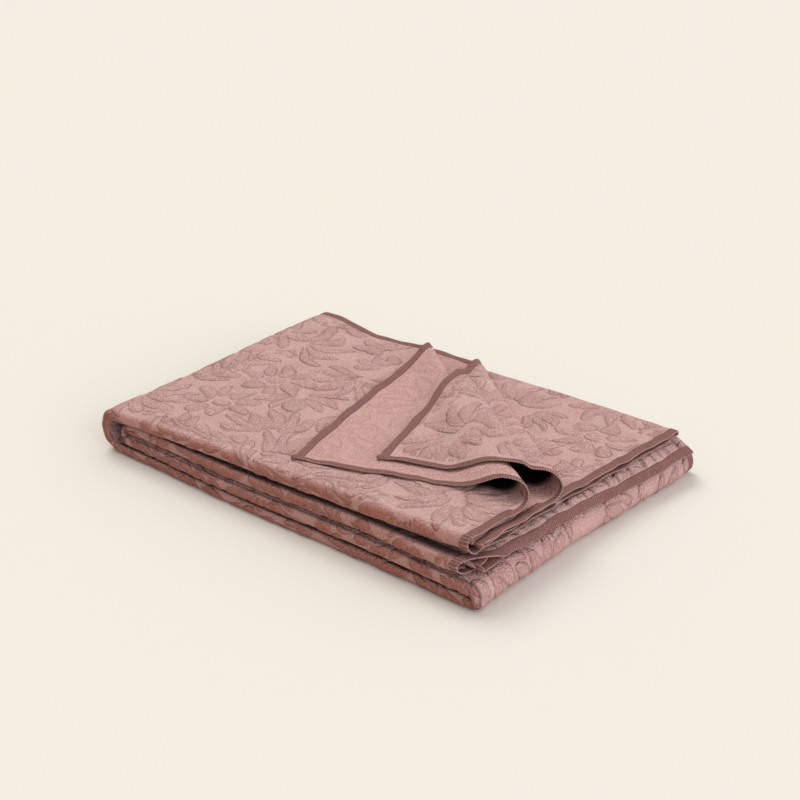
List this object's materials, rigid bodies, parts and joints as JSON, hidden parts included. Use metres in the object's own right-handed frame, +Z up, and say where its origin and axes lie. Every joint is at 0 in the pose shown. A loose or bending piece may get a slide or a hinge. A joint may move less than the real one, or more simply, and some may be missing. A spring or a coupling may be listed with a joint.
{
  "type": "folded throw",
  "caption": "Blanket-size woven terry throw folded in quarters both ways into a flat stack, with corners of the upper sheets turned back over the top.",
  "frame": {"origin": "centre of the stack's footprint, on the surface that it lies on", "axes": "+X along the stack's long side towards the hemmed ends, +Y across it away from the rounded width folds, +Z up through the layers"},
  "size_m": [0.4646, 0.3226, 0.0792],
  "materials": {
    "terry_cloth": "matt cotton jacquard: raised terry motifs on a smooth ground",
    "edge_stitching": "dense overlocked thread, darker mauve, slight sheen"
  },
  "bodies": {
    "root": {"throw_cloth": "terry_cloth"}
  },
  "joints": []
}
